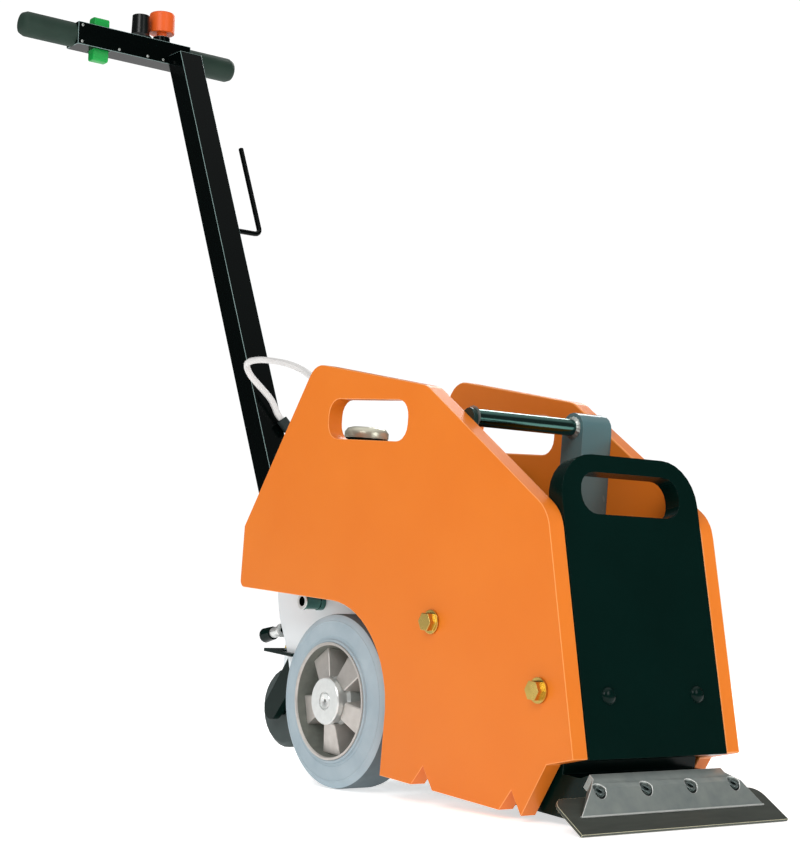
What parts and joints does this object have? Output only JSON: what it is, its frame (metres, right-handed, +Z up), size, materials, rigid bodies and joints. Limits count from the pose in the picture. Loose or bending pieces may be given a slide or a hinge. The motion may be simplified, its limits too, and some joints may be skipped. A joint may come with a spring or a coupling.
{
  "type": "walk-behind floor stripper",
  "caption": "Walk-behind powered floor scraper with a clamped front blade, bolted side and front weights, two drive wheels and a tilting mast with a switch handlebar.",
  "frame": {"origin": "on the floor, under the middle of the bounding box", "axes": "+Z up; -Y forward, towards the blade; +X to the operator's left-hand side as seen from the front, across the machine"},
  "size_m": [0.374, 1.2254, 1.136],
  "materials": {
    "orange_paint": "gloss powder coat on thick steel",
    "black_paint": "gloss black paint",
    "pale_paint": "pale grey paint",
    "bright_steel": "machined or drawn steel",
    "yellow_zinc": "yellow zinc plate",
    "cast_aluminium": "cast and machined aluminium",
    "grey_tyre": "matt non-marking grey rubber",
    "dark_rubber": "matt dark rubber",
    "cable_sheath": "pale grey flexible sheath",
    "green_plastic": "moulded, satin",
    "orange_plastic": "moulded, satin",
    "black_plastic": "moulded"
  },
  "bodies": {
    "chassis": {"side_plate_left": "orange_paint", "side_plate_right": "orange_paint", "front_weight_plate": "black_paint", "inner_arm_left": "pale_paint", "inner_arm_right": "pale_paint", "cross_tube": "bright_steel", "cheek_plate_left": "pale_paint", "cheek_plate_right": "pale_paint", "floor_pan": "black_paint", "motor_bridge": "black_paint", "plate_bolt_left_rear": "yellow_zinc", "plate_bolt_left_front": "yellow_zinc", "plate_bolt_right_rear": "yellow_zinc", "plate_bolt_right_front": "yellow_zinc", "front_plate_screw_left": "black_paint", "front_plate_screw_right": "black_paint", "main_motor": "black_paint", "gear_motor": "black_paint", "gear_motor_cap": "bright_steel", "electrics_box": "black_paint", "box_gland": "dark_rubber", "mast_bracket": "pale_paint", "mast_pivot_bolt": "yellow_zinc", "rubber_mount_left": "dark_rubber", "rubber_mount_right": "dark_rubber", "stub_shaft": "bright_steel", "plunger_body": "bright_steel", "mast_cable": "cable_sheath", "drive_chain": "bright_steel", "drive_belt": "dark_rubber"},
    "drive_axle": {"drive_axle": "bright_steel", "wheel_rim_left": "cast_aluminium", "wheel_rim_right": "cast_aluminium", "tyre_left": "grey_tyre", "tyre_right": "grey_tyre", "axle_sprocket": "bright_steel"},
    "gear_output": {"gear_sprocket": "bright_steel"},
    "motor_rotor": {"motor_pulley": "bright_steel"},
    "eccentric": {"eccentric_shaft": "bright_steel"},
    "blade_head": {"blade_holder": "black_paint", "blade": "bright_steel", "blade_clamp": "bright_steel", "clamp_screw_1": "bright_steel", "clamp_screw_2": "bright_steel", "clamp_screw_3": "bright_steel", "clamp_screw_4": "bright_steel"},
    "mast": {"mast_tube": "black_paint", "switch_box": "black_paint", "handle_stub_left": "bright_steel", "handle_stub_right": "bright_steel", "grip_left": "dark_rubber", "grip_right": "dark_rubber", "cord_hook": "black_paint", "mains_inlet": "black_plastic", "mast_gland": "dark_rubber"},
    "paddle": {"start_paddle": "green_plastic"},
    "knob": {"stop_knob": "orange_plastic"},
    "plunger": {"plunger_knob": "black_paint"},
    "swing_arm": {"swing_arm": "black_paint"},
    "transport_wheel": {"transport_wheel": "dark_rubber"}
  },
  "joints": [
    {"name": "wheel_spin", "type": "hinge", "parent": "chassis", "child": "drive_axle", "pos_m": [0, -0.1523, 0.1], "axis": [1, 0, 0], "continuous": true},
    {"name": "gear_output_spin", "type": "hinge", "parent": "chassis", "child": "gear_output", "pos_m": [0.034, -0.04699, 0.25916], "axis": [1, 0, 0], "continuous": true},
    {"name": "eccentric_spin", "type": "hinge", "parent": "chassis", "child": "eccentric", "pos_m": [0, -0.44501, 0.12109], "axis": [1, 0, 0], "continuous": true},
    {"name": "motor_spin", "type": "hinge", "parent": "chassis", "child": "motor_rotor", "pos_m": [-0.034, -0.22057, 0.32015], "axis": [1, 0, 0], "continuous": true},
    {"name": "blade_stroke", "type": "slide", "parent": "chassis", "child": "blade_head", "axis": [0, 0.9966, 0.0819], "range_m": [-0.003, 0.003], "stiffness_N_per_m": 40000},
    {"name": "mast_tilt", "type": "hinge", "parent": "chassis", "child": "mast", "pos_m": [0.079, 0.1602, 0.15], "axis": [1, 0, 0], "range_deg": [-12, 20], "deforming": ["mast_cable"]},
    {"name": "paddle_rock", "type": "hinge", "parent": "mast", "child": "paddle", "pos_m": [-0.054, 0.5927, 1.069], "axis": [1, 0, 0], "range_deg": [-8, 8], "stiffness_Nm_per_rad": 0.8},
    {"name": "stop_press", "type": "slide", "parent": "mast", "child": "knob", "axis": [0, 0, -1], "range_m": [0, 0.005], "stiffness_N_per_m": 900, "springref_m": -0.003},
    {"name": "plunger_pull", "type": "slide", "parent": "chassis", "child": "plunger", "axis": [0, 0.9806, -0.1959], "range_m": [0, 0.006], "stiffness_N_per_m": 900, "springref_m": -0.003},
    {"name": "transport_swing", "type": "hinge", "parent": "chassis", "child": "swing_arm", "pos_m": [-0.0345, -0.04422, 0.21324], "axis": [1, 0, 0], "range_deg": [-18, 0]},
    {"name": "transport_spin", "type": "hinge", "parent": "swing_arm", "child": "transport_wheel", "pos_m": [0, 0.07766, 0.07697], "axis": [1, 0, 0], "continuous": true}
  ],
  "couplings": [
    {"joint": "gear_output_spin", "follows": "wheel_spin", "ratio": 2},
    {"joint": "motor_spin", "follows": "eccentric_spin", "ratio": 1.52}
  ]
}
